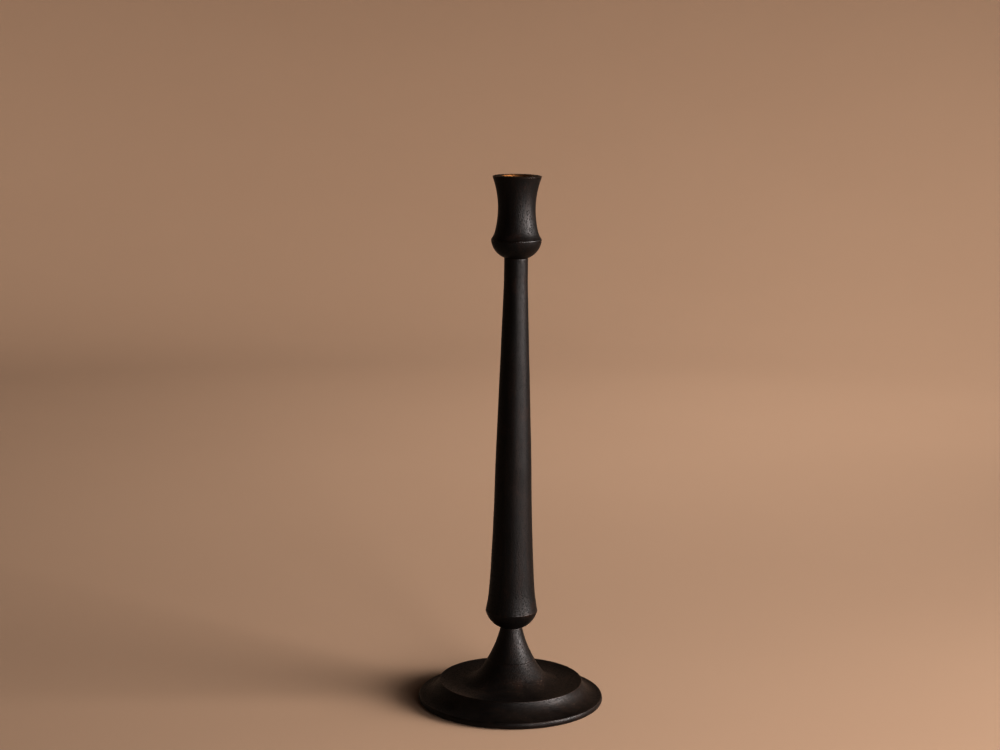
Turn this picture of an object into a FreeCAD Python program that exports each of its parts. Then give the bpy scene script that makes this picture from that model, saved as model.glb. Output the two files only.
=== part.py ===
import FreeCAD, Part
import math
import os

import Sketcher

# A tall turned wooden candlestick for one taper candle. Four turned pieces stand on each other on
# one axis: base plate, pedestal, stem and cup. A stud through the pedestal and the base pulls the
# lower three together, and a double-ended screw holds the cup. The frame's origin is the centre of
# the underside, +Z is up the axis, and all sizes are in millimetres.

PARTS = "parts"
GREATEST_NAME = 59
FULL_TURN = 360.0

DIMENSIONS = [
    # name, millimetres, what it is
    ("felt_radius", 64.0, "felt pad, radius"),
    ("felt_thick", 1.6, "felt pad, thickness"),
    ("felt_proud", 0.4, "how far the felt stands below the wood"),
    ("foot_radius", 72.5, "base plate, radius where it meets its underside"),
    ("base_radius", 74.4, "base plate, radius at the top of its rounded lower edge"),
    ("lower_edge", 1.6, "base plate, height of the rounded lower edge"),
    ("lower_edge_arc", 3.1, "arc of the rounded lower edge"),
    ("shoulder_radius", 73.7, "base plate, radius where the hollow flange starts"),
    ("shoulder", 5.2, "base plate, height of that shoulder"),
    ("shoulder_arc", 4.7, "arc of the band between lower edge and shoulder"),
    ("ridge_radius", 57.7, "base plate, radius of the raised ridge"),
    ("ridge", 17.05, "base plate, height of the ridge"),
    ("flange_arc", 15.8, "arc of the hollow flange from shoulder to ridge"),
    ("ridge_round", 0.6, "rounding of the ridge"),
    ("dish_radius", 42.0, "base plate, radius of the lowest ring of the dished top"),
    ("dish", 15.5, "base plate, height of that ring"),
    ("dish_arc", 59.0, "arc of the dished top from ridge to its lowest ring"),
    ("cove_radius", 26.5, "base plate, radius at the top of the cove"),
    ("cove", 22.8, "base plate, height at the top of the cove"),
    ("cove_arc", 19.0, "arc of the cove"),
    ("seam_radius", 18.6, "radius of the joint between base plate and pedestal"),
    ("base_height", 34.7, "base plate, height up to that joint"),
    ("hollow_arc", 93.0, "arc of the hollow side that base plate and pedestal share"),
    ("tenon_radius", 8.0, "pedestal tenon, radius"),
    ("tenon_length", 10.0, "pedestal tenon, length"),
    ("tenon_relief", 0.3, "gap under the pedestal tenon"),
    ("neck_radius", 8.55, "radius of the joint between pedestal and stem"),
    ("pedestal_height", 26.5, "pedestal, height from joint to joint"),
    ("bulb_radius", 20.85, "stem, radius of the bulb's edge"),
    ("bulb", 13.65, "stem, height of the bulb's edge above the neck"),
    ("bulb_arc", 19.3, "arc of the rounded underside of the bulb"),
    ("bulb_round", 0.8, "rounding of the bulb's edge"),
    ("swell_radius", 18.0, "stem, radius where the lower swell ends"),
    ("swell", 34.3, "stem, height where the lower swell ends"),
    ("swell_arc", 150.0, "hollow arc of the lower swell"),
    ("waist_radius", 14.43, "stem, radius where the straight taper starts"),
    ("waist", 132.5, "stem, height where the straight taper starts"),
    ("waist_arc", 2150.0, "long hollow arc up to the straight taper"),
    ("tip_radius", 9.35, "stem, radius of the top"),
    ("tip", 278.7, "stem, height where the taper ends in a short cylinder"),
    ("stem_height", 299.4, "stem, height from neck to cup"),
    ("bead_radius", 19.9, "cup, radius of the bead"),
    ("bead", 14.45, "cup, height of the bead"),
    ("bead_round", 1.8, "rounding of the bead"),
    ("cup_bowl_arc", 16.7, "arc of the rounded underside of the cup"),
    ("bead_cove_radius", 17.0, "cup, radius above the small cove over the bead"),
    ("bead_cove", 19.9, "cup, height above the small cove over the bead"),
    ("bead_cove_arc", 17.2, "arc of that small cove"),
    ("rim_radius", 19.4, "cup, outer radius of the rim"),
    ("rim", 63.8, "cup, height of the rim's outer corner"),
    ("rim_round", 0.45, "rounding of the rim's outer corner"),
    ("side_arc", 72.5, "hollow arc of the cup's side"),
    ("lip", 64.2, "cup, height of the lip beside the liner"),
    ("lip_arc", 15.0, "arc that domes the lip"),
    ("socket_radius", 12.25, "cup, radius of the hole that takes the liner"),
    ("socket_floor", 38.6, "cup, height of the floor of that hole"),
    ("seat_radius", 13.0, "cup, radius of the seat for the liner's flange"),
    ("seat", 63.5, "cup, height of that seat"),
    ("liner_inner_radius", 11.4, "liner, inner radius, which takes the candle"),
    ("liner_outer_radius", 12.0, "liner, outer radius"),
    ("liner_flange_radius", 12.8, "liner, radius of the flange"),
    ("liner_flange", 0.6, "liner, thickness of the flange"),
    ("liner_floor", 0.8, "liner, thickness of the floor"),
    ("liner_depth", 24.7, "liner, length below the seat"),
    ("liner_bottom_round", 1.2, "liner, rounding of the outer bottom corner"),
    ("thread_radius", 3.0, "stud, radius over the thread"),
    ("thread_root", 2.4, "stud, radius at the bottom of the thread"),
    ("thread_pitch", 1.0, "stud, pitch of the thread"),
    ("thread_half", 0.42, "stud, half the width of one thread groove"),
    ("thread_reach", 0.3, "how far a groove's outline runs past the thread"),
    ("stud_foot", 3.2, "stud, height of its lower end"),
    ("stud_length", 69.8, "stud, length"),
    ("stud_end", 0.7, "stud, chamfer of each end"),
    ("stud_first_groove", 1.5, "stud, height of the first thread groove over the lower end"),
    ("stud_upper_groove", 57.5, "stud, height of the first groove of the upper thread"),
    ("stud_hole_radius", 3.3, "radius of the hole that the stud passes through"),
    ("nut_bore_radius", 3.05, "nut and insert, radius of the bore"),
    ("insert_radius", 5.0, "insert, outer radius over its coarse thread"),
    ("insert_root", 4.3, "insert, radius at the bottom of its coarse thread"),
    ("insert_length", 12.6, "insert, length"),
    ("insert_groove", 2.5, "insert, height of its first coarse groove"),
    ("insert_pitch", 2.0, "insert, pitch of its coarse thread"),
    ("insert_half", 0.8, "insert, half the width of one coarse groove"),
    ("insert_slot_half", 0.7, "insert, half the width of the driver slot"),
    ("insert_slot_depth", 1.2, "insert, depth of the driver slot"),
    ("insert_hole_radius", 5.05, "stem, radius of the hole for the insert"),
    ("insert_hole", 14.5, "stem, depth of the hole for the insert"),
    ("washer_radius", 9.0, "washer, outer radius"),
    ("washer_thick", 1.6, "washer, thickness"),
    ("counterbore_radius", 10.5, "base plate, radius of the counterbore for the nut"),
    ("counterbore", 10.6, "base plate, height of the counterbore's top"),
    ("nut_corner", 5.8, "nut, radius to the corners"),
    ("nut_flat", 5.0, "nut, distance from the axis to each flat"),
    ("nut_thick", 5.0, "nut, thickness"),
    ("nut_chamfer", 0.6, "nut, height of the turned chamfer on its corners"),
    ("nut_face_radius", 4.9, "nut, radius of its flat faces"),
    ("cutter_reach", 3.0, "how far the cutter for one flat reaches past the nut"),
    ("dowel_radius", 3.0, "double-ended screw, radius over the thread"),
    ("dowel_root", 2.1, "double-ended screw, radius at the bottom of the thread"),
    ("dowel_length", 40.0, "double-ended screw, length"),
    ("dowel_reach", 20.0, "double-ended screw, how far it goes into the stem"),
    ("dowel_point", 5.0, "double-ended screw, length of each point"),
    ("dowel_tip_radius", 0.4, "double-ended screw, radius of the blunt end of each point"),
    ("dowel_pitch", 2.2, "double-ended screw, pitch of the thread"),
    ("dowel_half", 0.9, "double-ended screw, half the width of one thread groove"),
    ("dowel_groove", 6.5, "double-ended screw, height of the first groove of the lower thread"),
    ("dowel_upper_groove", 24.6, "double-ended screw, height of the first upper groove"),
    ("dowel_hole_radius", 3.05, "stem and cup, radius of the hole for the screw"),
    ("dowel_hole", 20.4, "stem and cup, depth of the hole for the screw"),
]

STUD_LOWER_GROOVES = 14
STUD_UPPER_GROOVES = 11
INSERT_GROOVES = 5
DOWEL_GROOVES = 5
NUT_SIDES = 6

doc = FreeCAD.newDocument("Candlestick")
sheet = doc.addObject("Spreadsheet::Sheet", "Sizes")


def fill_sheet():
    """Writes the driving dimensions, one row each: name, value, meaning."""
    for row, (name, value, meaning) in enumerate(DIMENSIONS, start=1):
        sheet.set(f"A{row}", name)
        sheet.set(f"B{row}", str(value))
        sheet.setAlias(f"B{row}", name)
        sheet.set(f"C{row}", meaning)
    doc.recompute()


def amount(rule):
    """Value of a rule: a sum or difference of named sizes, such as 'bead + lip - rim'."""
    total, sign = 0.0, 1.0
    for word in rule.split():
        if word in ("+", "-"):
            sign = 1.0 if word == "+" else -1.0
        elif word != "0":
            total += sign * sheet.get(word)
    return total


def formula(rule):
    """The same rule as an expression on the sheet."""
    words = [word if word in ("+", "-", "0") else f"Sizes.{word}" for word in rule.split()]
    return " ".join(words)


def new_body(name):
    body = doc.addObject("PartDesign::Body", name)
    body.Label = name
    return body


def stand_at(body, rule):
    """Stands a body's own origin at a height on the axis."""
    body.Placement = FreeCAD.Placement(FreeCAD.Vector(0, 0, amount(rule)), FreeCAD.Rotation())
    body.setExpression("Placement.Base.z", formula(rule))


def origin_feature(body, role):
    return next(item for item in body.Origin.OriginFeatures if item.Role == role)


def new_sketch(body, name, plane):
    sketch = body.newObject("Sketcher::SketchObject", name)
    sketch.AttachmentSupport = (origin_feature(body, plane), [""])
    sketch.MapMode = "FlatFace"
    return sketch


def edge_between(start, end, bend):
    """One edge of an outline and whether it was drawn against the direction of travel.

    The outline runs counter-clockwise. A full arc swells out of it, a hollow arc bites into it.
    """
    if bend is None:
        return Part.LineSegment(start, end), False
    kind, radius_name = bend
    radius = sheet.get(radius_name)
    chord = end - start
    middle = (start + end) * 0.5
    left = FreeCAD.Vector(-chord.y, chord.x, 0).normalize()
    rise = math.sqrt(radius**2 - (chord.Length / 2) ** 2)
    hollow = kind == "hollow"
    centre = middle - left * rise if hollow else middle + left * rise
    first, last = (end, start) if hollow else (start, end)
    first_angle = math.atan2(first.y - centre.y, first.x - centre.x)
    last_angle = math.atan2(last.y - centre.y, last.x - centre.x)
    if last_angle < first_angle:
        last_angle += 2 * math.pi
    circle = Part.Circle(centre, FreeCAD.Vector(0, 0, 1), radius)
    return Part.ArcOfCircle(circle, first_angle, last_angle), hollow


def bind(sketch, constraint, rule):
    index = sketch.addConstraint(constraint)
    sketch.setExpression(f"Constraints[{index}]", formula(rule))


def draw_outline(sketch, corners):
    """Closed outline through corners of (across rule, up rule, bend of the edge that follows)."""
    points = [FreeCAD.Vector(amount(across), amount(up), 0) for across, up, _ in corners]
    ends = []
    for index, (_, _, bend) in enumerate(corners):
        edge, backwards = edge_between(points[index], points[(index + 1) % len(points)], bend)
        sketch.addGeometry(edge, False)
        ends.append((2, 1) if backwards else (1, 2))
    for index, (across, up, bend) in enumerate(corners):
        previous = index - 1 if index else len(corners) - 1
        start = ends[index][0]
        joined = Sketcher.Constraint("Coincident", previous, ends[previous][1], index, start)
        sketch.addConstraint(joined)
        if across == "0":
            sketch.addConstraint(Sketcher.Constraint("PointOnObject", index, start, -2))
        else:
            distance = Sketcher.Constraint("DistanceX", -1, 1, index, start, amount(across))
            bind(sketch, distance, across)
        if up == "0":
            sketch.addConstraint(Sketcher.Constraint("PointOnObject", index, start, -1))
        else:
            distance = Sketcher.Constraint("DistanceY", -1, 1, index, start, amount(up))
            bind(sketch, distance, up)
        if bend is not None:
            bow = Sketcher.Constraint("Radius", index, sheet.get(bend[1]))
            bind(sketch, bow, bend[1])


def turn(body, corners, kind="Revolution", name="Turned"):
    """Turns an outline round the axis: a Revolution adds wood or metal, a Groove cuts it away."""
    sketch = new_sketch(body, f"{body.Name}_{name}_outline", "XZ_Plane")
    draw_outline(sketch, corners)
    doc.recompute()
    feature = body.newObject(f"PartDesign::{kind}", f"{body.Name}_{name}")
    feature.Profile = sketch
    feature.ReferenceAxis = (sketch, ["V_Axis"])
    feature.Angle = FULL_TURN
    doc.recompute()
    return feature


def edges_at(feature, across, up):
    """Names of the circular edges of a feature at a radius and a height on the axis."""
    radius, height, near = amount(across), amount(up), 0.02
    names = []
    for index, edge in enumerate(feature.Shape.Edges, start=1):
        if not isinstance(edge.Curve, Part.Circle):
            continue
        same_radius = abs(edge.Curve.Radius - radius) < near
        if same_radius and abs(edge.Curve.Center.z - height) < near:
            names.append(f"Edge{index}")
    if not names:
        raise RuntimeError(f"{feature.Name} has no edge at {across}, {up}")
    return names


def round_edge(body, feature, across, up, size):
    rounding = body.newObject("PartDesign::Fillet", f"{body.Name}_{size}")
    rounding.Base = (feature, edges_at(feature, across, up))
    rounding.Radius = sheet.get(size)
    rounding.setExpression("Radius", formula(size))
    doc.recompute()
    return rounding


def cut_thread(body, name, crest, root, half, first, pitch, count):
    """Cuts a run of V-shaped rings, which stands for a thread of the same pitch."""
    before = body.Tip.Shape.Volume
    valley = [
        (root, first, None),
        (f"{crest} + thread_reach", f"{first} - {half}", None),
        (f"{crest} + thread_reach", f"{first} + {half}", None),
    ]
    groove = turn(body, valley, "Groove", f"{name}_first")
    pattern = body.newObject("PartDesign::LinearPattern", f"{body.Name}_{name}")
    pattern.Originals = [groove]
    pattern.Direction = (origin_feature(body, "Z_Axis"), [""])
    pattern.Length = sheet.get(pitch) * (count - 1)
    pattern.setExpression("Length", f"{formula(pitch)} * {count - 1}")
    pattern.Occurrences = count
    body.Tip = pattern
    doc.recompute()
    if pattern.Shape.Volume >= before:
        raise RuntimeError(f"{name} cut nothing from {body.Label}")


def minus(rule):
    """The opposite of a rule that holds only sums."""
    return "0 - " + rule.replace("+", "-")


def pocket(body, name, sketch, depth):
    """Cuts a sketch on the piece's lower face upwards to a depth."""
    before = body.Tip.Shape.Volume
    cut = body.newObject("PartDesign::Pocket", f"{body.Name}_{name}")
    cut.Profile = sketch
    cut.Reversed = True
    cut.Length = amount(depth)
    cut.setExpression("Length", formula(depth))
    doc.recompute()
    if cut.Shape.Volume >= before:
        raise RuntimeError(f"{name} cut nothing from {body.Label}")
    return cut


def make_felt_pad():
    body = new_body("felt_pad")
    turn(body, [
        ("0", "0", None),
        ("felt_radius", "0", None),
        ("felt_radius", "felt_thick", None),
        ("0", "felt_thick", None),
    ])
    return body


def make_base_plate():
    """Wooden foot. Underneath, a shallow recess takes the felt and a counterbore takes the nut."""
    body = new_body("base_plate")
    stand_at(body, "felt_proud")
    recess = "felt_thick - felt_proud"
    tenon_floor = "base_height - tenon_length - tenon_relief"
    tenon_hole = "tenon_radius + nut_bore_radius - thread_radius"
    feature = turn(body, [
        ("foot_radius", "0", ("full", "lower_edge_arc")),
        ("base_radius", "lower_edge", ("full", "shoulder_arc")),
        ("shoulder_radius", "shoulder", ("hollow", "flange_arc")),
        ("ridge_radius", "ridge", ("hollow", "dish_arc")),
        ("dish_radius", "dish", ("hollow", "cove_arc")),
        ("cove_radius", "cove", ("hollow", "hollow_arc")),
        ("seam_radius", "base_height", None),
        (tenon_hole, "base_height", None),
        (tenon_hole, tenon_floor, None),
        ("stud_hole_radius", tenon_floor, None),
        ("stud_hole_radius", "counterbore", None),
        ("counterbore_radius", "counterbore", None),
        ("counterbore_radius", recess, None),
        ("felt_radius + felt_proud", recess, None),
        ("felt_radius + felt_proud", "0", None),
    ])
    round_edge(body, feature, "ridge_radius", "ridge", "ridge_round")
    return body


def make_pedestal():
    """Hollow-sided cone. Its tenon goes down into the base plate."""
    body = new_body("pedestal")
    stand_at(body, "felt_proud + base_height - tenon_length")
    top = "tenon_length + pedestal_height"
    turn(body, [
        ("stud_hole_radius", "0", None),
        ("tenon_radius", "0", None),
        ("tenon_radius", "tenon_length", None),
        ("seam_radius", "tenon_length", ("hollow", "hollow_arc")),
        ("neck_radius", top, None),
        ("stud_hole_radius", top, None),
    ])
    return body


def make_stem():
    """Bulb and long taper. The foot takes the insert, and the top takes the double-ended screw."""
    body = new_body("stem")
    stand_at(body, "felt_proud + base_height + pedestal_height")
    screw_floor = "stem_height - dowel_hole"
    feature = turn(body, [
        ("neck_radius", "0", ("full", "bulb_arc")),
        ("bulb_radius", "bulb", ("hollow", "swell_arc")),
        ("swell_radius", "swell", ("hollow", "waist_arc")),
        ("waist_radius", "waist", None),
        ("tip_radius", "tip", None),
        ("tip_radius", "stem_height", None),
        ("dowel_hole_radius", "stem_height", None),
        ("dowel_hole_radius", screw_floor, None),
        ("0", screw_floor, None),
        ("0", "insert_hole", None),
        ("insert_hole_radius", "insert_hole", None),
        ("insert_hole_radius", "0", None),
    ])
    round_edge(body, feature, "bulb_radius", "bulb", "bulb_round")
    return body


def make_candle_cup():
    """Turned cup with a bead and a domed lip, bored for the liner."""
    body = new_body("candle_cup")
    stand_at(body, "felt_proud + base_height + pedestal_height + stem_height")
    feature = turn(body, [
        ("tip_radius", "0", ("full", "cup_bowl_arc")),
        ("bead_radius", "bead", ("hollow", "bead_cove_arc")),
        ("bead_cove_radius", "bead_cove", ("hollow", "side_arc")),
        ("rim_radius", "rim", ("full", "lip_arc")),
        ("seat_radius", "lip", None),
        ("seat_radius", "seat", None),
        ("socket_radius", "seat", None),
        ("socket_radius", "socket_floor", None),
        ("0", "socket_floor", None),
        ("0", "dowel_hole", None),
        ("dowel_hole_radius", "dowel_hole", None),
        ("dowel_hole_radius", "0", None),
    ])
    feature = round_edge(body, feature, "bead_radius", "bead", "bead_round")
    round_edge(body, feature, "rim_radius", "rim", "rim_round")
    return body


def make_candle_liner():
    """Thin brass cup. Its flange rests on the seat in the lip, and its floor hangs free."""
    body = new_body("candle_liner")
    wood_foot = "felt_proud + base_height + pedestal_height + stem_height"
    stand_at(body, f"{wood_foot} + seat - liner_depth")
    top = "liner_depth + liner_flange"
    feature = turn(body, [
        ("0", "0", None),
        ("liner_outer_radius", "0", None),
        ("liner_outer_radius", "liner_depth", None),
        ("liner_flange_radius", "liner_depth", None),
        ("liner_flange_radius", top, None),
        ("liner_inner_radius", top, None),
        ("liner_inner_radius", "liner_floor", None),
        ("0", "liner_floor", None),
    ])
    round_edge(body, feature, "liner_outer_radius", "0", "liner_bottom_round")
    return body


def make_tie_rod():
    """Steel stud from the insert in the stem down to the nut, threaded at both ends."""
    body = new_body("tie_rod")
    stand_at(body, "stud_foot")
    turn(body, [
        ("0", "0", None),
        ("thread_radius - stud_end", "0", None),
        ("thread_radius", "stud_end", None),
        ("thread_radius", "stud_length - stud_end", None),
        ("thread_radius - stud_end", "stud_length", None),
        ("0", "stud_length", None),
    ])
    thread = ("thread_radius", "thread_root", "thread_half")
    cut_thread(body, "lower", *thread, "stud_first_groove", "thread_pitch", STUD_LOWER_GROOVES)
    cut_thread(body, "upper", *thread, "stud_upper_groove", "thread_pitch", STUD_UPPER_GROOVES)
    return body


def make_stem_insert():
    """Brass insert with a coarse outer thread, a plain bore for the stud and a driver slot."""
    body = new_body("stem_insert")
    stand_at(body, "felt_proud + base_height + pedestal_height")
    turn(body, [
        ("nut_bore_radius", "0", None),
        ("insert_radius", "0", None),
        ("insert_radius", "insert_length", None),
        ("nut_bore_radius", "insert_length", None),
    ])
    cut_thread(body, "outer", "insert_radius", "insert_root", "insert_half",
               "insert_groove", "insert_pitch", INSERT_GROOVES)
    far = "insert_radius + thread_reach"
    sketch = new_sketch(body, "stem_insert_slot_outline", "XY_Plane")
    draw_outline(sketch, [
        (minus(far), "0 - insert_slot_half", None),
        (far, "0 - insert_slot_half", None),
        (far, "insert_slot_half", None),
        (minus(far), "insert_slot_half", None),
    ])
    doc.recompute()
    pocket(body, "slot", sketch, "insert_slot_depth")
    return body


def make_base_washer():
    body = new_body("base_washer")
    stand_at(body, "felt_proud + counterbore - washer_thick")
    turn(body, [
        ("stud_hole_radius", "0", None),
        ("washer_radius", "0", None),
        ("washer_radius", "washer_thick", None),
        ("stud_hole_radius", "washer_thick", None),
    ])
    return body


def make_base_nut():
    """Hexagon nut: a turned blank with chamfered corners, and one flat cut six times round."""
    body = new_body("base_nut")
    stand_at(body, "felt_proud + counterbore - washer_thick - nut_thick")
    turn(body, [
        ("nut_bore_radius", "0", None),
        ("nut_face_radius", "0", None),
        ("nut_corner", "nut_chamfer", None),
        ("nut_corner", "nut_thick - nut_chamfer", None),
        ("nut_face_radius", "nut_thick", None),
        ("nut_bore_radius", "nut_thick", None),
    ])
    far = "nut_flat + cutter_reach"
    sketch = new_sketch(body, "base_nut_flat_outline", "XY_Plane")
    draw_outline(sketch, [
        ("nut_flat", minus(far), None),
        (far, minus(far), None),
        (far, far, None),
        ("nut_flat", far, None),
    ])
    doc.recompute()
    flat = pocket(body, "flat", sketch, "nut_thick")
    hexagon = body.newObject("PartDesign::PolarPattern", "base_nut_hexagon")
    hexagon.Originals = [flat]
    hexagon.Axis = (origin_feature(body, "Z_Axis"), [""])
    hexagon.Angle = FULL_TURN
    hexagon.Occurrences = NUT_SIDES
    body.Tip = hexagon
    doc.recompute()
    if hexagon.Shape.Volume >= flat.Shape.Volume:
        raise RuntimeError("five of the nut's six flats cut nothing")
    return body


def make_cup_dowel_screw():
    """Double-ended wood screw: half of it is in the stem and half in the cup."""
    body = new_body("cup_dowel_screw")
    middle = "felt_proud + base_height + pedestal_height + stem_height"
    stand_at(body, f"{middle} - dowel_reach")
    turn(body, [
        ("0", "0", None),
        ("dowel_tip_radius", "0", None),
        ("dowel_radius", "dowel_point", None),
        ("dowel_radius", "dowel_length - dowel_point", None),
        ("dowel_tip_radius", "dowel_length", None),
        ("0", "dowel_length", None),
    ])
    thread = ("dowel_radius", "dowel_root", "dowel_half")
    cut_thread(body, "lower", *thread, "dowel_groove", "dowel_pitch", DOWEL_GROOVES)
    cut_thread(body, "upper", *thread, "dowel_upper_groove", "dowel_pitch", DOWEL_GROOVES)
    return body


def check_document(bodies):
    """Stops if any object failed, or if a body isn't one valid solid."""
    doc.recompute()
    for item in doc.Objects:
        if "Invalid" in item.State or "Error" in item.State:
            raise RuntimeError(f"{item.Label} failed: {item.State}")
    for body in bodies:
        shape = body.Shape
        if shape.isNull() or not shape.isValid() or len(shape.Solids) != 1:
            raise RuntimeError(f"{body.Label} isn't one valid solid")


def write_parts(bodies):
    os.makedirs(PARTS, exist_ok=True)
    for body in bodies:
        if len(body.Label) > GREATEST_NAME:
            raise RuntimeError(f"{body.Label} is too long a name")
        body.Shape.exportStep(os.path.join(PARTS, f"{body.Label}.step"))
        box = body.Shape.optimalBoundingBox(False)
        print(f"{body.Label}: z {box.ZMin:.2f} to {box.ZMax:.2f}, across {box.XLength:.2f},"
              f" volume {body.Shape.Volume:.0f}")


fill_sheet()
pieces = [
    make_felt_pad(),
    make_base_plate(),
    make_pedestal(),
    make_stem(),
    make_candle_cup(),
    make_candle_liner(),
    make_tie_rod(),
    make_stem_insert(),
    make_base_washer(),
    make_base_nut(),
    make_cup_dowel_screw(),
]
check_document(pieces)
write_parts(pieces)
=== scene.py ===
"""
A tall turned candlestick of ebonised wood with a lift-out brass liner.
Its wooden pieces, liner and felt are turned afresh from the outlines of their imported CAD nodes.
"""

import math

import bmesh
import bpy
import numpy as np
from mathutils import Matrix, Vector

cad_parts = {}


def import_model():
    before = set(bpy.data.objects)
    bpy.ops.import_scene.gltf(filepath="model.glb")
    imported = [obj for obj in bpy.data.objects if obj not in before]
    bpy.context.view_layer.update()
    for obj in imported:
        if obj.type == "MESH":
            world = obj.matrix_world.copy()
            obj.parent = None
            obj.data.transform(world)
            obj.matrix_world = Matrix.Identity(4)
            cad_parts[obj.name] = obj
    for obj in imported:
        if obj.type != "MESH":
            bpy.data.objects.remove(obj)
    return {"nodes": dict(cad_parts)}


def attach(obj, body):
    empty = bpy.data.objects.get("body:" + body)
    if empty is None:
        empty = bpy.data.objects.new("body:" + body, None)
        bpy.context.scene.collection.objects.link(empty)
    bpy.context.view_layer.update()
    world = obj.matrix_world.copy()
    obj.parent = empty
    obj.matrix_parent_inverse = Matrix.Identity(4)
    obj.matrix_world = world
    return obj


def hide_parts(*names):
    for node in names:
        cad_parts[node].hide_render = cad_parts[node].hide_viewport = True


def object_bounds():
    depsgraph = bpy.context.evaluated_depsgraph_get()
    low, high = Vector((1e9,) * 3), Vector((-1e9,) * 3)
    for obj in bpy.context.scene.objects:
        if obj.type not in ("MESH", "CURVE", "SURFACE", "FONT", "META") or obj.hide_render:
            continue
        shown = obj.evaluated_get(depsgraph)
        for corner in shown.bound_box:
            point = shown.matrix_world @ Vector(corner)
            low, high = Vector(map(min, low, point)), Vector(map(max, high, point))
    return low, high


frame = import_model()
cad_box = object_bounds()

MM = 0.001
CANDLESTICK = "candlestick"
LINER = "liner"

# ------------------------------------------------------------------ outlines, read from the CAD nodes

# Points nearer than SAME_POINT are one. Ends of edges are matched on a grid MATCH_GRID times as wide.
SAME_POINT = 1e-6
MATCH_GRID = 5
OFF_AXIS = 10 * SAME_POINT

# These keep a division away from zero, or stand for a chord that doesn't bend.
NO_BEND = 1e-9
NO_TURNING = 1e-6
NO_LENGTH = 1e-12

# A turn under STRAIGHT is no corner, and one over SHARP is a real edge. A kink between KINK and SHARP is
# eased over a longer way. Chords whose lengths and turns differ by less than these shares are one arc.
STRAIGHT = math.radians(0.06)
KINK = math.radians(0.4)
SHARP = math.radians(12)
LENGTH_MATCH = 0.06
TURN_MATCH = 0.25

# How far each way a corner is rounded: at most these lengths, and these shares of the shorter chord.
KINK_EASE = 6.0 * MM
KINK_SHARE = 1.5
SHARP_SHARE = 0.4
DEFAULT_EASE = 0.15 * MM

# The outline is read in steps of FINE_STEP. Its downward stretches, steeper than INWARD, are inside the
# piece. A step of the mesh turns by TURN_STEP at most, and its length changes over STEP_BLEND fine steps.
FINE_STEP = 0.1 * MM
INWARD = -0.45
TURN_STEP = math.radians(9)
SHORTEST_STEP = 0.09 * MM
STEP_BLEND = 4

# Full wear on an edge, and full painted shade in a crease, come where the outline turns this far within
# the reach below, each way.
WEAR_AND_SHADE_REACH = 0.9 * MM
WEAR_AND_SHADE_TURN = math.radians(55)


def angle(step):
    return math.atan2(step[1], step[0])


def wrap(turn):
    """The turn as an angle from minus half a turn to half a turn."""
    return (turn + math.pi) % (2 * math.pi) - math.pi


def half_section(node):
    """The edges where the half plane y = 0, x > 0 cuts a CAD node: pairs of (radius, height)."""
    solid = bmesh.new()
    solid.from_mesh(frame["nodes"][node].data)
    bmesh.ops.remove_doubles(solid, verts=solid.verts, dist=SAME_POINT)
    everything = solid.verts[:] + solid.edges[:] + solid.faces[:]
    cut = bmesh.ops.bisect_plane(
        solid, geom=everything, dist=SAME_POINT, plane_co=(0, 0, 0), plane_no=(0, 1, 0)
    )
    pairs = []
    for edge in cut["geom_cut"]:
        is_edge = isinstance(edge, bmesh.types.BMEdge)
        if is_edge and max(v.co.x for v in edge.verts) > OFF_AXIS:
            pairs.append([(max(v.co.x, 0.0), v.co.z) for v in edge.verts])
    solid.free()
    return pairs


def in_order(pairs):
    """The points of the joined pairs in order, and whether they close into a ring."""
    number, places, beside = {}, [], {}
    for pair in pairs:
        ends = []
        for point in pair:
            key = tuple(round(value / SAME_POINT / MATCH_GRID) for value in point)
            if key not in number:
                number[key] = len(places)
                places.append(point)
            ends.append(number[key])
        if ends[0] != ends[1]:
            beside.setdefault(ends[0], set()).add(ends[1])
            beside.setdefault(ends[1], set()).add(ends[0])
    loose = [i for i in beside if len(beside[i]) == 1]
    order = [max(loose or beside, key=lambda i: (-places[i][0], places[i][1]))]
    while True:
        onward = sorted(beside[order[-1]] - set(order))
        if not onward:
            break
        order.append(onward[0])
    return np.array([places[i] for i in order]), not loose


def without_straight(points, closed):
    """The outline without the points that lie along a straight run."""
    count = len(points)
    keep = []
    for i in range(count):
        before = points[i] - points[i - 1]
        after = points[(i + 1) % count] - points[i]
        at_end = not closed and i in (0, count - 1)
        if at_end or abs(wrap(angle(after) - angle(before))) > STRAIGHT:
            keep.append(i)
    return points[keep]


def bends_of(lengths, turns):
    """
    How far each chord bends. Even chords with an even turn between them are one arc.
    The others are straight.
    """
    bends = np.zeros(len(lengths))
    first = 0
    while first < len(lengths):
        last = first
        while last + 1 < len(lengths):
            even_length = abs(lengths[last + 1] / lengths[first] - 1) < LENGTH_MATCH
            turn = turns[last + 1]
            even_turn = abs(turn - turns[first + 1]) < TURN_MATCH * abs(turns[first + 1])
            if not even_length or not even_turn or abs(turn) > SHARP:
                break
            last += 1
        if last > first:
            bends[first:last + 1] = turns[first + 1:last + 1].mean()
        first = last + 1
    return bends


def along_arc(start, end, bend):
    """Fine points from start up to, but without, end, along the arc of that bend."""
    step = end - start
    count = max(2, math.ceil(np.hypot(*step) / FINE_STEP))
    share = np.arange(count)[:, None] / count
    if abs(bend) < NO_BEND:
        return start + step * share
    radius = np.hypot(*step) / (2 * math.sin(bend / 2))
    heading = angle(step) - bend / 2
    now = heading + bend * share
    across = np.sin(now) - math.sin(heading)
    up = math.cos(heading) - np.cos(now)
    return start + radius * np.hstack([across, up])


def path_length(points):
    """How far along the path each point lies."""
    steps = np.hypot(*np.diff(points, axis=0).T)
    return np.concatenate([[0.0], np.cumsum(steps)])


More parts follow.
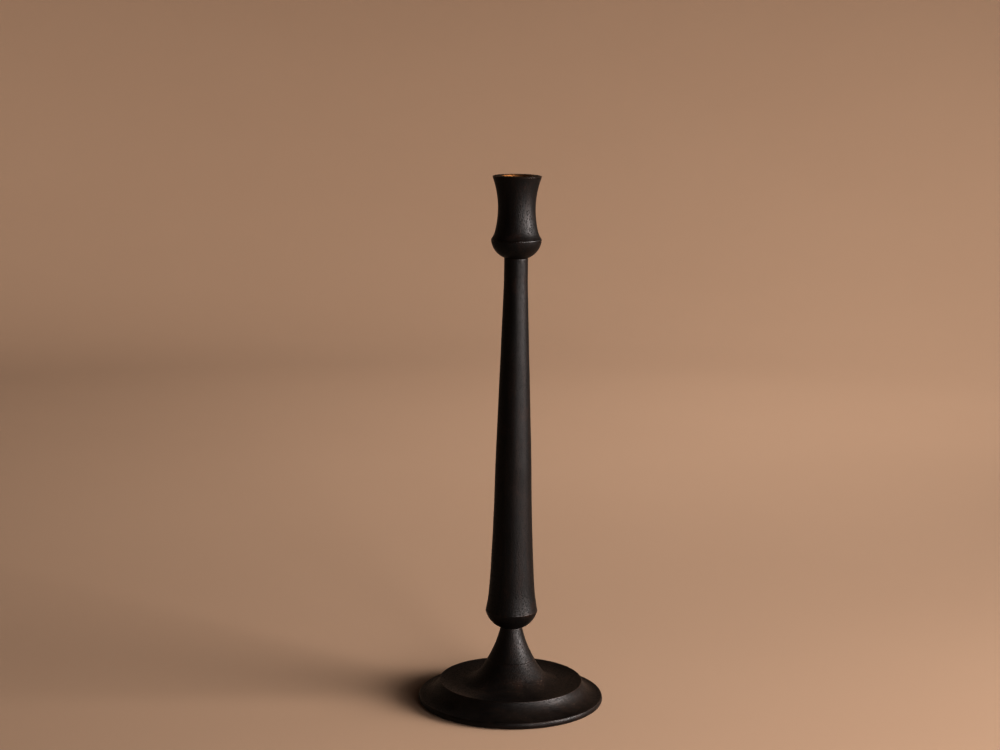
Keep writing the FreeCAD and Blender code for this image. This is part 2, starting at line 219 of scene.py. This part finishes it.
def round_over(line, travelled, corner, reach):
    """Which points of the line lie within reach of a corner, and where a curve across it takes them."""
    middle = travelled[corner]
    near = np.abs(travelled - middle) < reach
    share = ((travelled[near] - middle) / reach + 1)[:, None] / 2
    start, end = [
        np.array([np.interp(middle + side * reach, travelled, line[:, axis]) for axis in (0, 1)])
        for side in (-1, 1)
    ]
    curve = (1 - share) ** 2 * start + 2 * share * (1 - share) * line[corner] + share ** 2 * end
    return near, curve


def fine_outline(node, sharp_ease):
    """The node's half outline as fine, rounded points (radius, height), and whether it is a ring."""
    points, closed = in_order(half_section(node))
    points = without_straight(points, closed)
    if closed:
        points = np.vstack([points, points[:1]])
    steps = np.diff(points, axis=0)
    lengths = np.hypot(*steps.T)
    headings = np.arctan2(steps[:, 1], steps[:, 0])
    turns = np.concatenate([[0.0], wrap(np.diff(headings))])
    bends = bends_of(lengths, turns)
    fine, corner_at = [], []
    for i in range(len(steps)):
        corner_at.append(sum(len(part) for part in fine))
        fine.append(along_arc(points[i], points[i + 1], bends[i]))
    line = np.vstack(fine + [points[-1:]])
    travelled = path_length(line)
    eased = line.copy()
    for i in range(1, len(steps)):
        kink = abs(wrap(turns[i] - (bends[i - 1] + bends[i]) / 2))
        shorter = min(lengths[i - 1], lengths[i])
        if kink > SHARP:
            reach = min(sharp_ease, SHARP_SHARE * shorter)
        elif kink > KINK:
            reach = min(KINK_EASE, KINK_SHARE * shorter)
        else:
            continue
        near, curve = round_over(line, travelled, corner_at[i], reach)
        eased[near] = curve
    return eased, closed


def signed_area(points):
    """The outline's area, above zero where it runs anticlockwise."""
    radius, height = points.T
    return 0.5 * float(np.sum(radius * np.roll(height, -1) - np.roll(radius, -1) * height))


def smooth(values, reach):
    """A running mean over reach samples each way."""
    window = np.ones(2 * reach + 1) / (2 * reach + 1)
    padded = np.pad(values, reach, mode="edge")
    return np.convolve(padded, window, mode="valid")


def spaced_outline(node, outer_step, inner_step, sharp_ease):
    """
    The outline with points close together on outer faces and round corners, and wide apart inside.
    It runs with the solid on its left, so the outer face is to its right. Returns the points,
    each one's outward normal, its wear and shade value (1 for wear on a proud edge, -1 for
    painted shade in a crease) and whether it is a ring.
    """
    line, closed = fine_outline(node, sharp_ease)
    if signed_area(line) < 0:
        line = line[::-1]
    travelled = path_length(line)
    tangent = np.gradient(line, axis=0)
    tangent /= np.hypot(*tangent.T)[:, None] + NO_LENGTH
    heading = np.unwrap(np.arctan2(tangent[:, 1], tangent[:, 0]))
    turning = np.gradient(heading) / (np.gradient(travelled) + NO_LENGTH)
    reach = int(round(WEAR_AND_SHADE_REACH / FINE_STEP))
    # Above zero on proud edges (wear), below zero in creases (painted shade).
    wear_and_shade = smooth(turning, reach) * WEAR_AND_SHADE_REACH * 2 / WEAR_AND_SHADE_TURN

    step = np.where(tangent[:, 1] < INWARD, inner_step, outer_step)
    step = np.minimum(step, TURN_STEP / (np.abs(turning) + NO_TURNING))
    step = np.maximum(step, SHORTEST_STEP)
    density = smooth(1 / step, STEP_BLEND)
    total = np.concatenate([[0.0], np.cumsum((density[1:] + density[:-1]) / 2 * np.diff(travelled))])
    wanted = np.linspace(0, total[-1], int(math.ceil(total[-1])) + 1)
    if closed:
        wanted = wanted[:-1]
    place = np.interp(wanted, total, travelled)

    points = np.stack([np.interp(place, travelled, line[:, axis]) for axis in (0, 1)], axis=1)
    normal = np.stack([np.interp(place, travelled, tangent[:, 1]),
                       -np.interp(place, travelled, tangent[:, 0])], axis=1)
    return points, normal, np.clip(np.interp(place, travelled, wear_and_shade), -1, 1), closed


# ------------------------------------------------------------------ turned pieces

# The wood is out of round by OVAL at a radius of OVAL_RADIUS, and in proportion elsewhere. On top of that
# it has WAVES waves, each with 1 to 4 lobes around the piece and a pitch along it in this range.
OVAL = 0.05 * MM
OVAL_RADIUS = 30 * MM
OVAL_HEADING = 0.6
WAVES = 7
WAVE_SIZE = 0.012 * MM
WAVE_LOBES = (1, 5)
WAVE_PITCH_MM = (25, 90)
WAVE_SEED = 11


def unevenness(radius, height, around):
    """How far hand turning and shrinking wood leave the surface from a true circle, in metres."""
    away = OVAL * np.cos(2 * (around - OVAL_HEADING)) * radius / OVAL_RADIUS
    chance = np.random.default_rng(WAVE_SEED)
    for _ in range(WAVES):
        lobes = chance.integers(*WAVE_LOBES)
        pitch = chance.uniform(*WAVE_PITCH_MM) * MM
        shift = chance.uniform(0, 2 * math.pi)
        away = away + WAVE_SIZE * np.sin(lobes * around + 2 * math.pi * height / pitch + shift)
    return away


def lathe_faces(rows, columns, closed):
    """The side faces between rows of points, and the fans that close both ends of an open outline."""
    faces = []
    for row in range(rows if closed else rows - 1):
        below = row * columns
        above = (row + 1) % rows * columns
        for column in range(columns):
            beside = (column + 1) % columns
            faces.append((below + column, below + beside, above + beside, above + column))
    if not closed:
        first_pole, last_pole = rows * columns, rows * columns + 1
        last_row = (rows - 1) * columns
        for column in range(columns):
            beside = (column + 1) % columns
            faces.append((first_pole, beside, column))
            faces.append((last_pole, last_row + column, last_row + beside))
    return faces


def lathe(name, node, columns, outer_step, inner_step, sharp_ease=DEFAULT_EASE, uneven=1.0):
    """A closed mesh of the node's outline turned round Z, with its wear and crease shade value kept as a
    point attribute.
    """
    points, normal, wear_and_shade, closed = spaced_outline(node, outer_step, inner_step, sharp_ease)
    if not closed:
        poles = [(0, 0, points[0, 1]), (0, 0, points[-1, 1])]
        pole_wear_and_shade = (wear_and_shade[0], wear_and_shade[-1])
        points, normal, wear_and_shade = points[1:-1], normal[1:-1], wear_and_shade[1:-1]
    around = np.arange(columns) * 2 * math.pi / columns
    radius = points[:, :1] + 0 * around
    height = points[:, 1:] + 0 * around
    outward = np.clip(normal[:, :1], 0, 1) * uneven
    radius = radius + unevenness(radius, height, around[None, :]) * outward
    vertices = np.stack([radius * np.cos(around), radius * np.sin(around), height], axis=2)
    vertices = vertices.reshape(-1, 3)
    value = np.repeat(wear_and_shade, columns)
    if not closed:
        vertices = np.vstack([vertices, poles])
        value = np.concatenate([value, pole_wear_and_shade])
    mesh = bpy.data.meshes.new(name)
    mesh.from_pydata(vertices.tolist(), [], lathe_faces(len(points), columns, closed))
    mesh.shade_smooth()
    attribute = mesh.attributes.new("wear_and_shade", "FLOAT", "POINT")
    attribute.data.foreach_set("value", value.astype(np.float32))
    piece = bpy.data.objects.new(name, mesh)
    bpy.context.scene.collection.objects.link(piece)
    return piece


def turned(name, node, body, slot, material, **shape):
    """Makes a lathe piece that stands for a CAD node, rides on its body and takes the given material. The
    slot is not used.
    """
    piece = lathe(name, node, **shape)
    piece.data.materials.append(material)
    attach(piece, body)
    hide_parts(node)


# ------------------------------------------------------------------ material helpers


class Nodes:
    """Short calls for building one material's node tree."""

    def __init__(self, name):
        self.material = bpy.data.materials.new(name)
        self.material.use_nodes = True
        self.tree = self.material.node_tree
        self.shader = self.tree.nodes["Principled BSDF"]
        self.place = self.add("ShaderNodeTexCoord").outputs["Object"]

    def add(self, kind, **settings):
        node = self.tree.nodes.new(kind)
        for key, value in settings.items():
            setattr(node, key, value)
        return node

    def put(self, value, socket):
        """Links an output into a socket, or sets the socket to a plain value."""
        if isinstance(value, bpy.types.NodeSocket):
            self.tree.links.new(value, socket)
        else:
            socket.default_value = value

    def math(self, operation, first, second=0.0, clamp=False):
        node = self.add("ShaderNodeMath", operation=operation, use_clamp=clamp)
        self.put(first, node.inputs[0])
        self.put(second, node.inputs[1])
        return node.outputs[0]

    def times(self, first, second):
        return self.math("MULTIPLY", first, second)

    def plus(self, first, second):
        return self.math("ADD", first, second)

    def stretched(self, cell, turn=(0, 0, 0)):
        """The object's coordinates, for a pattern whose cells have that size along X, Y and Z."""
        node = self.add("ShaderNodeMapping")
        self.put(self.place, node.inputs["Vector"])
        node.inputs["Scale"].default_value = [1 / size for size in cell]
        node.inputs["Rotation"].default_value = turn
        return node.outputs[0]

    def even(self, size, turn=(0, 0, 0)):
        """The object's coordinates, for a pattern whose cells are as large every way."""
        return self.stretched((size, size, size), turn)

    def parts(self, vector):
        """The X, Y and Z of a vector, by name."""
        node = self.add("ShaderNodeSeparateXYZ")
        self.put(vector, node.inputs[0])
        return node.outputs

    def noise(self, vector, detail=2.0, roughness=0.5, distortion=0.0):
        node = self.add("ShaderNodeTexNoise")
        self.put(vector, node.inputs["Vector"])
        node.inputs["Scale"].default_value = 1.0
        node.inputs["Detail"].default_value = detail
        node.inputs["Roughness"].default_value = roughness
        node.inputs["Distortion"].default_value = distortion
        return node.outputs["Fac"]

    def specks(self, vector, size):
        """1 inside small scattered dots and 0 elsewhere; size is a share of the pattern's cell."""
        node = self.add("ShaderNodeTexVoronoi")
        self.put(vector, node.inputs["Vector"])
        node.inputs["Scale"].default_value = 1.0
        full_inside = 0.6
        return self.ramp(node.outputs["Distance"], size, size * full_inside)

    def ramp(self, value, low, high, start=0.0, end=1.0):
        """start below low, end above high, and a smooth step between. Low may be above high."""
        node = self.add("ShaderNodeMapRange", interpolation_type="SMOOTHSTEP")
        self.put(value, node.inputs["Value"])
        if low > high:
            low, high, start, end = high, low, end, start
        node.inputs["From Min"].default_value = low
        node.inputs["From Max"].default_value = high
        node.inputs["To Min"].default_value = start
        node.inputs["To Max"].default_value = end
        return node.outputs["Result"]

    def mix(self, share, first, second):
        node = self.add("ShaderNodeMix", data_type="RGBA")
        self.put(share, node.inputs["Factor"])
        self.put(first, node.inputs["A"])
        self.put(second, node.inputs["B"])
        return node.outputs["Result"]

    def attribute(self, name):
        return self.add("ShaderNodeAttribute", attribute_name=name).outputs["Fac"]

    def bump(self, height, depth, below=None):
        node = self.add("ShaderNodeBump")
        self.put(height, node.inputs["Height"])
        node.inputs["Distance"].default_value = depth
        if below is not None:
            self.put(below, node.inputs["Normal"])
        return node.outputs["Normal"]

    def finish(self, color, roughness, normal, **constants):
        self.put(color, self.shader.inputs["Base Color"])
        self.put(roughness, self.shader.inputs["Roughness"])
        self.put(normal, self.shader.inputs["Normal"])
        for key, value in constants.items():
            self.shader.inputs[key.replace("_", " ")].default_value = value
        return self.material


# ------------------------------------------------------------------ ebonised wood

UPRIGHT = "upright"
FLAT = "flat"

STAIN = (0.0032, 0.0022, 0.0018, 1)
SHOWING_BROWN = (0.013, 0.0062, 0.0038, 1)
THIN_STAIN = (0.014, 0.0058, 0.0034, 1)
# Black of open pores; the same black is painted as shade into creases.
PORE_AND_SHADE_BLACK = (0.0012, 0.001, 0.0009, 1)
RUBBED_BROWN = (0.04, 0.02, 0.013, 1)
DUST = (0.3, 0.21, 0.155, 1)

# How strongly each layer covers the colour below it.
THIN_STAIN_SHARE = 0.7
RUBBED_SHARE = 0.2
PORE_SHARE = 0.85
MOTE_SHARE = 0.22
THINNEST_FILM, THICKEST_FILM = 0.004, 0.04

# The size of each pattern's cells, across and along the grain where there are two numbers. PIT_SIZE and
# MOTE_SIZE are the dots' radii as shares of their cells.
FIGURE_CELL = (4 * MM, 60 * MM)
FIBRE_CELL = (0.5 * MM, 5 * MM)
DASH_CELL = (0.6 * MM, 2.2 * MM)
PIT_CELL = (1.35 * MM, 1.8 * MM)
PIT_SIZE = 0.38
PATCH_CELL = 28 * MM
STAIN_CELL = 14 * MM
SMEAR_CELL = 7 * MM
MOTE_CELL = 2.4 * MM
MOTE_SIZE = 0.2
RING_PITCH = 1.3 * MM

# Roughness of the best and the worst waxed wood, what each feature adds to it, and the specular level.
WAXED, DRY = 0.39, 0.45
FIBRE_ROUGHNESS = 0.2
DASH_ROUGHNESS = 0.15
PIT_ROUGHNESS = 0.3
WOOD_GLOSS = 0.2

FIBRE_DEPTH = 0.035 * MM
PORE_DEPTH = 0.042 * MM
RING_DEPTH = 0.008 * MM


def grain_cell(size, grain):
    """A cell's size along X, Y and Z, for a grain that runs up the piece, or flat along X."""
    across, along = size
    if grain == UPRIGHT:
        return across, across, along
    return along, across, across


def wood_color(n, grain, fibre, patches, pores, proud, crease_shade):
    """Black stain with brown showing through, rubbed on proud edges, black in pores, and painted shade
    that darkens creases to black.
    """
    figure = n.noise(n.stretched(grain_cell(FIGURE_CELL, grain)), detail=3, roughness=0.55, distortion=0.4)
    brown = n.times(n.ramp(figure, 0.38, 0.68), n.ramp(fibre, 0.3, 0.75))
    color = n.mix(brown, STAIN, SHOWING_BROWN)
    thin = n.ramp(n.noise(n.even(STAIN_CELL), detail=3, roughness=0.6, distortion=0.5), 0.55, 0.72)
    color = n.mix(n.times(thin, THIN_STAIN_SHARE), color, THIN_STAIN)
    rubbed = n.times(proud, n.ramp(patches, 0.34, 0.66))
    color = n.mix(n.times(rubbed, RUBBED_SHARE), color, RUBBED_BROWN)
    color = n.mix(n.times(pores, PORE_SHARE), color, PORE_AND_SHADE_BLACK)
    # Painted shade: creases where the outline bends inward are darkened to black.
    return n.mix(crease_shade, color, PORE_AND_SHADE_BLACK)


def with_dust(n, color, patches):
    """The colour with a thin film of dust and a few motes on what faces up."""
    normal = n.add("ShaderNodeNewGeometry").outputs["Normal"]
    facing_up = n.ramp(n.parts(normal)["Z"], 0.1, 0.9)
    film = n.times(facing_up, n.ramp(patches, 0.25, 0.75, THINNEST_FILM, THICKEST_FILM))
    color = n.mix(film, color, DUST)
    motes = n.times(n.specks(n.even(MOTE_CELL), MOTE_SIZE), n.ramp(patches, 0.48, 0.62))
    return n.mix(n.times(n.times(motes, facing_up), MOTE_SHARE), color, DUST)


def wood_roughness(n, fibre, dashes, pits, proud, edge_polish):
    """Waxed and smeared, duller in the pores and more polished on proud edges."""
    smear = n.noise(n.even(SMEAR_CELL), detail=4, roughness=0.65)
    roughness = n.ramp(smear, 0.25, 0.75, WAXED, DRY)
    roughness = n.plus(roughness, n.times(n.math("SUBTRACT", fibre, 0.5), FIBRE_ROUGHNESS))
    roughness = n.plus(roughness, n.times(dashes, DASH_ROUGHNESS))
    roughness = n.plus(roughness, n.times(pits, PIT_ROUGHNESS))
    return n.math("SUBTRACT", roughness, n.times(proud, edge_polish), clamp=True)


def tool_rings(n, grain):
    """Faint rings that the turning tool left: along the height of a spindle, out across a disc."""
    place = n.parts(n.place)
    if grain == UPRIGHT:
        travel = place["Z"]
    else:
        squares = [n.math("POWER", place[axis], 2) for axis in ("X", "Y")]
        travel = n.math("SQRT", n.plus(*squares))
    line = n.add("ShaderNodeCombineXYZ")
    n.put(n.times(travel, 1 / RING_PITCH), line.inputs["X"])
    return n.noise(line.outputs[0], detail=3, roughness=0.6)


def ebonised_wood(name, grain, edge_polish):
    """Black-stained, waxed hardwood: brown shows through the grain, open pores stay black and dull."""
    n = Nodes(name)
    fibre = n.noise(n.stretched(grain_cell(FIBRE_CELL, grain)), detail=3, roughness=0.6)
    patches = n.noise(n.even(PATCH_CELL), detail=3, roughness=0.6)
    dashes = n.noise(n.stretched(grain_cell(DASH_CELL, grain)), detail=1, roughness=0.5)
    dashes = n.ramp(dashes, 0.57, 0.65)
    pits = n.specks(n.stretched(grain_cell(PIT_CELL, grain)), PIT_SIZE)
    pores = n.math("MAXIMUM", n.times(dashes, n.ramp(patches, 0.3, 0.6, 0.35, 1)), pits)
    wear_and_shade = n.attribute("wear_and_shade")
    proud = n.ramp(wear_and_shade, 0.12, 0.75)
    # The crease mask is painted shade, from how sharply the outline bends inward.
    crease_shade = n.ramp(wear_and_shade, -0.12, -0.7)
    color = wood_color(n, grain, fibre, patches, pores, proud, crease_shade)
    color = with_dust(n, color, patches)
    roughness = wood_roughness(n, fibre, dashes, pits, proud, edge_polish)
    relief = n.bump(fibre, FIBRE_DEPTH)
    relief = n.bump(n.math("SUBTRACT", 1.0, pores), PORE_DEPTH, relief)
    relief = n.bump(tool_rings(n, grain), RING_DEPTH, relief)
    return n.finish(color, roughness, relief, Specular_IOR_Level=WOOD_GLOSS)


# ------------------------------------------------------------------ metal, felt and paper

LINER_BRIGHT = (0.27, 0.14, 0.052, 1)
LINER_DULL = (0.17, 0.08, 0.03, 1)
LINER_DRAWN = (0.31, 0.175, 0.07, 1)
YELLOW_BRASS = (0.66, 0.45, 0.17, 1)
DULL_BRASS = (0.4, 0.24, 0.09, 1)
ZINC = (0.5, 0.5, 0.49, 1)
DULL_ZINC = (0.3, 0.3, 0.31, 1)
FELT_DARK = (0.006, 0.006, 0.006, 1)
FELT_LIGHT = (0.024, 0.022, 0.021, 1)
LINT = (0.2, 0.18, 0.16, 1)
PAPER_LIGHT = (0.475, 0.352, 0.258, 1)
PAPER_SHADE = (0.46, 0.338, 0.246, 1)


def liner_brass(name):
    """Spun brass, dulled by candle heat, with drawn lines up the wall."""
    n = Nodes(name)
    drawn = n.noise(n.stretched((0.35 * MM, 0.35 * MM, 14 * MM)), detail=3, roughness=0.6)
    tarnish = n.noise(n.even(5 * MM), detail=4, roughness=0.6, distortion=0.3)
    color = n.mix(n.ramp(tarnish, 0.35, 0.7), LINER_BRIGHT, LINER_DULL)
    color = n.mix(n.times(drawn, 0.3), color, LINER_DRAWN)
    roughness = n.ramp(tarnish, 0.3, 0.75, 0.6, 0.8)
    return n.finish(color, roughness, n.bump(drawn, 0.012 * MM), Metallic=0.85)


def machined_metal(name, color, tarnished):
    """Plain machined or plated metal: fine turning marks, soft stains and slightly uneven gloss."""
    n = Nodes(name)
    stain = n.noise(n.even(3.5 * MM), detail=4, roughness=0.6)
    turning = n.noise(n.stretched((6 * MM, 6 * MM, 0.12 * MM)), detail=2, roughness=0.5)
    shade = n.mix(n.ramp(stain, 0.42, 0.75), color, tarnished)
    roughness = n.ramp(stain, 0.3, 0.7, 0.26, 0.48)
    return n.finish(shade, roughness, n.bump(turning, 0.01 * MM), Metallic=1.0)


def pressed_felt(name):
    """Dark wool felt: matted fibres in every direction, with a little lint."""
    n = Nodes(name)
    mat = n.noise(n.even(0.5 * MM), detail=5, roughness=0.75, distortion=1.2)
    lint = n.specks(n.even(4 * MM, turn=(0.3, 0.2, 0.5)), 0.07)
    color = n.mix(n.ramp(mat, 0.3, 0.7), FELT_DARK, FELT_LIGHT)
    color = n.mix(n.times(lint, 0.5), color, LINT)
    return n.finish(color, n.ramp(mat, 0.2, 0.8, 0.9, 1.0), n.bump(mat, 0.25 * MM), Sheen_Weight=0.3)


def backdrop_paper(name):
    """Pale warm paper, almost plain, with the faintest unevenness."""
    n = Nodes(name)
    cloud = n.noise(n.even(0.4), detail=2, roughness=0.5)
    tooth = n.noise(n.even(0.8 * MM), detail=2, roughness=0.6)
    color = n.mix(cloud, PAPER_LIGHT, PAPER_SHADE)
    return n.finish(color, 0.9, n.bump(tooth, 0.02 * MM), Specular_IOR_Level=0.2)


# ------------------------------------------------------------------ the object

CUP_POLISH = 0.22
EDGE_POLISH = 0.07
WOOD_SLOT = "ebonised_wood"
HIDDEN_STEP = 4 * MM
CRISP_EASE = 0.09 * MM
SOFT_EASE = 0.9 * MM

cup_wood = ebonised_wood("ebonised_wood_cup", UPRIGHT, CUP_POLISH)
upright_wood = ebonised_wood("ebonised_wood_upright", UPRIGHT, EDGE_POLISH)
flat_wood = ebonised_wood("ebonised_wood_flat", FLAT, EDGE_POLISH)
brass = liner_brass("liner_brass")
insert_brass = machined_metal("insert_brass", YELLOW_BRASS, DULL_BRASS)
zinc_steel = machined_metal("zinc_steel", ZINC, DULL_ZINC)
felt = pressed_felt("pressed_felt")

turned("turned_base", "base_plate", CANDLESTICK, WOOD_SLOT, flat_wood,
       columns=224, outer_step=0.7 * MM, inner_step=HIDDEN_STEP, sharp_ease=CRISP_EASE)
turned("turned_pedestal", "pedestal", CANDLESTICK, WOOD_SLOT, upright_wood,
       columns=144, outer_step=0.7 * MM, inner_step=HIDDEN_STEP, sharp_ease=CRISP_EASE)
turned("turned_stem", "stem", CANDLESTICK, WOOD_SLOT, upright_wood,
       columns=144, outer_step=0.9 * MM, inner_step=HIDDEN_STEP, sharp_ease=SOFT_EASE)
turned("turned_cup", "candle_cup", CANDLESTICK, WOOD_SLOT, cup_wood,
       columns=176, outer_step=0.55 * MM, inner_step=HIDDEN_STEP)
turned("spun_liner", "candle_liner", LINER, "liner_brass", brass,
       columns=112, outer_step=0.8 * MM, inner_step=0.8 * MM, uneven=0.0)
turned("felt_disc", "felt_pad", CANDLESTICK, "felt", felt,
       columns=112, outer_step=2.0 * MM, inner_step=HIDDEN_STEP)

FIXINGS = {
    "stem_insert": insert_brass,
    "tie_rod": zinc_steel,
    "base_washer": zinc_steel,
    "base_nut": zinc_steel,
    "cup_dowel_screw": zinc_steel,
}
for node, metal in FIXINGS.items():
    kept_mesh = frame["nodes"][node].data
    kept_mesh.materials.clear()
    kept_mesh.materials.append(metal)

# ------------------------------------------------------------------ stage, light and camera

# The cove in metres. FLOOR_RINGS are shares of the flat floor's radius.
COVE_RADIUS = 3.6
COVE_BEND = 1.9
COVE_HEIGHT = 2.8
COVE_COLUMNS = 128
FLOOR_RINGS = (0.1, 0.4, 0.7)
BEND_RINGS = 25

OBJECT_MIDDLE = (cad_box[0] + cad_box[1]) / 2
LIGHT_COLOR = (1.0, 0.945, 0.93)
WORLD_COLOR = (1.0, 0.93, 0.86, 1)
WORLD_STRENGTH = 0.03
WINDOW_SPREAD = 70

# The camera's place in metres, and its angles in degrees.
LENS_MM = 71.13
SENSOR_MM = 36.0
CAMERA_PLACE = (-0.00035, -1.5415, 0.5304)
PITCH_DOWN = 9.676
YAW = 0.411
ROLL = 0.763
NEAREST, FARTHEST = 0.05, 30
GAMMA = 0.7


def cove():
    """A round seamless backdrop: flat floor, curving up into a wall all the way round."""
    flat = COVE_RADIUS - COVE_BEND
    profile = [(flat * share, 0.0) for share in FLOOR_RINGS]
    turn = np.radians(np.linspace(0, 90, BEND_RINGS))
    profile += [(flat + COVE_BEND * math.sin(a), COVE_BEND - COVE_BEND * math.cos(a)) for a in turn]
    profile.append((COVE_RADIUS, COVE_HEIGHT))
    vertices, faces = [], [tuple(range(COVE_COLUMNS))]
    for radius, height in profile:
        for column in range(COVE_COLUMNS):
            a = 2 * math.pi * column / COVE_COLUMNS
            vertices.append((radius * math.cos(a), radius * math.sin(a), height))
    for row in range(len(profile) - 1):
        low, high = row * COVE_COLUMNS, (row + 1) * COVE_COLUMNS
        for column in range(COVE_COLUMNS):
            beside = (column + 1) % COVE_COLUMNS
            faces.append((low + column, high + column, high + beside, low + beside))
    mesh = bpy.data.meshes.new("backdrop")
    mesh.from_pydata(vertices, [], faces)
    mesh.shade_smooth()
    mesh.materials.append(backdrop_paper("backdrop_paper"))
    backdrop = bpy.data.objects.new("backdrop", mesh)
    bpy.context.scene.collection.objects.link(backdrop)


def softbox(name, azimuth, elevation, distance, size, power, spread, aim=OBJECT_MIDDLE):
    """
    A soft light that faces its aim from that distance. Its azimuth is in degrees from
    the camera's side, turned to the right, and its spread is in degrees too.
    """
    a, e = math.radians(azimuth), math.radians(elevation)
    outward = Vector((math.sin(a) * math.cos(e), -math.cos(a) * math.cos(e), math.sin(e)))
    data = bpy.data.lights.new(name, "AREA")
    data.shape = "RECTANGLE"
    data.size, data.size_y = size
    data.energy = power
    data.color = LIGHT_COLOR
    data.spread = math.radians(spread)
    light = bpy.data.objects.new(name, data)
    light.location = Vector(aim) + outward * distance
    light.rotation_euler = (-outward).to_track_quat("-Z", "Y").to_euler()
    light.visible_camera = False
    bpy.context.scene.collection.objects.link(light)


def lights():
    """A window in three panels on an arc to the right, light on the backdrop, and one small panel."""
    softbox("window_near", azimuth=36, elevation=6.2, distance=2.2, size=(1.5, 0.4),
            power=8, spread=WINDOW_SPREAD)
    for name, azimuth, power in (("window_middle", 73, 39), ("window_far", 110, 3)):
        softbox(name, azimuth, elevation=12.5, distance=2.6, size=(1.77, 0.99),
                power=power, spread=WINDOW_SPREAD)
    softbox("backdrop_light", azimuth=42, elevation=24, distance=2.3, size=(1.6, 0.8),
            power=31, spread=120, aim=(0, 2.5, 0.5))
    softbox("side_light", azimuth=-101, elevation=33, distance=2.5, size=(1.6, 0.6),
            power=12, spread=90, aim=(2.9, -0.6, 0.5))
    softbox("front_light", azimuth=176, elevation=33, distance=2.5, size=(1.6, 0.6),
            power=9, spread=90, aim=(0.3, -2.9, 0.5))
    softbox("far_window", azimuth=22, elevation=14, distance=2.6, size=(0.5, 1.0),
            power=1.6, spread=60)


def world():
    """A faint warm light from everywhere."""
    made = bpy.data.worlds.new("studio")
    made.use_nodes = True
    background = made.node_tree.nodes["Background"]
    background.inputs["Color"].default_value = WORLD_COLOR
    background.inputs["Strength"].default_value = WORLD_STRENGTH
    bpy.context.scene.world = made


def camera():
    """The photograph's viewpoint: a long lens from the front, looking down a little."""
    data = bpy.data.cameras.new("camera")
    data.sensor_width = SENSOR_MM
    data.lens = LENS_MM
    data.clip_start, data.clip_end = NEAREST, FARTHEST
    view = bpy.data.objects.new("camera", data)
    pitch = Matrix.Rotation(math.radians(90 - PITCH_DOWN), 4, "X")
    yaw = Matrix.Rotation(math.radians(YAW), 4, "Y")
    roll = Matrix.Rotation(math.radians(ROLL), 4, "Z")
    view.matrix_world = Matrix.Translation(CAMERA_PLACE) @ pitch @ yaw @ roll
    bpy.context.scene.collection.objects.link(view)
    bpy.context.scene.camera = view


cove()
lights()
world()
camera()

bpy.context.scene.view_settings.view_transform = "Standard"
bpy.context.scene.view_settings.look = "None"
bpy.context.scene.view_settings.gamma = GAMMA
